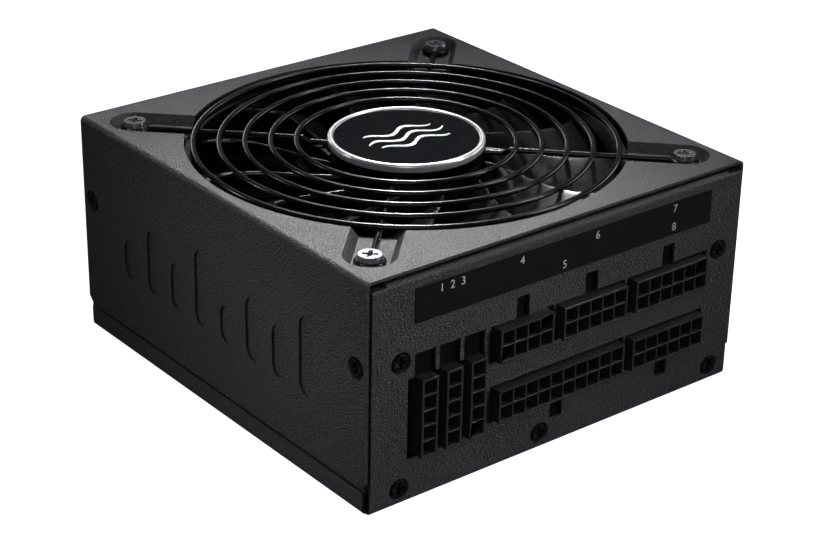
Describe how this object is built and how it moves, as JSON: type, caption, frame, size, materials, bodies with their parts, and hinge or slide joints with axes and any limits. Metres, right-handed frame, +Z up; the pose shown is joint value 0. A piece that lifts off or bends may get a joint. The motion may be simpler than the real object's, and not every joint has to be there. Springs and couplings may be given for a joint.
{
  "type": "power supply unit",
  "caption": "Compact modular computer power supply: folded steel case, ringed wire grille over a slim fan, output sockets on one end, mains inlet and switch on the other.",
  "frame": {"origin": "centre of the bottom face", "axes": "+Z up through the fan, -Y out of the socket panel, +Y out of the mains panel, +X to the right seen from the socket panel"},
  "size_m": [0.125, 0.1366, 0.0644],
  "materials": {
    "black_coat": "fine textured black powder coat",
    "grille_wire": "gloss black enamelled wire",
    "badge_metal": "bright plated ring",
    "badge_gloss": "gloss black disc",
    "black_screw": "black zinc steel",
    "bright_screw": "zinc plated steel",
    "label_film": "satin black printed film",
    "socket_nylon": "moulded black nylon",
    "contact_brass": "plated brass",
    "circuit_board": "glass epoxy laminate, green",
    "copper": "bare copper",
    "fan_plastic": "moulded glass-filled black plastic",
    "lamination": "stacked silicon steel",
    "bearing_bronze": "sintered bronze",
    "ground_steel": "ground steel",
    "magnet_ferrite": "plastic-bonded ferrite",
    "wire_sleeve": "PVC wire insulation",
    "header_nylon": "natural nylon",
    "inlet_plastic": "moulded black plastic",
    "switch_plastic": "moulded black plastic",
    "plated_pins": "nickel plated brass",
    "standoff_brass": "turned brass",
    "insulator_film": "translucent polyester film",
    "capacitor_sleeve": "shrink sleeve over aluminium",
    "capacitor_can": "dark coated aluminium can",
    "film_capacitor": "yellow moulded box",
    "ferrite": "sintered ferrite",
    "enamel_copper": "enamelled copper winding",
    "moulded_epoxy": "moulded epoxy",
    "heatsink_aluminium": "extruded aluminium",
    "winding_tape": "polyester winding tape",
    "fuse_glass": "white ceramic body with end caps"
  },
  "bodies": {
    "case": {"top_cover": "black_coat", "base_shell": "black_coat", "fan_grille": "grille_wire", "badge_plate": "grille_wire", "badge_ring": "badge_metal", "badge_disc": "badge_gloss", "fan_screws": "black_screw", "cover_screws": "black_screw", "panel_screws": "black_screw", "socket_standoffs": "standoff_brass", "socket_board_screws": "bright_screw", "label_strip": "label_film", "left_drive_socket": "socket_nylon", "middle_drive_socket": "socket_nylon", "right_drive_socket": "socket_nylon", "eight_way_socket": "socket_nylon", "ten_way_socket": "socket_nylon", "upper_twelve_way_socket": "socket_nylon", "twenty_way_socket": "socket_nylon", "lower_twelve_way_socket": "socket_nylon", "socket_contacts": "contact_brass", "socket_board": "circuit_board", "output_bars": "copper", "fan_frame": "fan_plastic", "fan_stator": "lamination", "fan_windings": "enamel_copper", "fan_motor_board": "circuit_board", "fan_bearing": "bearing_bronze", "fan_lead": "wire_sleeve", "fan_plug": "header_nylon", "fan_header": "header_nylon", "inlet_body": "inlet_plastic", "inlet_pins": "plated_pins", "inlet_screws": "black_screw", "switch_housing": "switch_plastic", "mains_wires": "wire_sleeve", "main_board": "circuit_board", "board_standoffs": "standoff_brass", "board_screws": "bright_screw", "insulating_sheet": "insulator_film", "bulk_capacitor": "capacitor_sleeve", "mains_capacitors": "film_capacitor", "mains_choke_cores": "ferrite", "mains_choke_windings": "enamel_copper", "bridge_rectifier": "moulded_epoxy", "primary_heatsink": "heatsink_aluminium", "secondary_heatsink": "heatsink_aluminium", "power_transistors": "moulded_epoxy", "boost_choke": "ferrite", "transformer_core": "ferrite", "transformer_winding": "winding_tape", "standby_transformer": "winding_tape", "output_capacitors": "capacitor_can", "control_board": "circuit_board", "mains_fuse": "fuse_glass"},
    "rotor": {"fan_shaft": "ground_steel", "fan_impeller": "fan_plastic", "fan_yoke": "ground_steel", "fan_magnet": "magnet_ferrite"},
    "rocker": {"switch_rocker": "switch_plastic"}
  },
  "joints": [
    {"name": "fan_spin", "type": "hinge", "parent": "case", "child": "rotor", "pos_m": [0, 0, 0.055], "axis": [0, 0, 1], "continuous": true},
    {"name": "switch_rock", "type": "hinge", "parent": "case", "child": "rocker", "pos_m": [-0.009, 0.0634, 0.022], "axis": [1, 0, 0], "range_deg": [0, 20]}
  ]
}
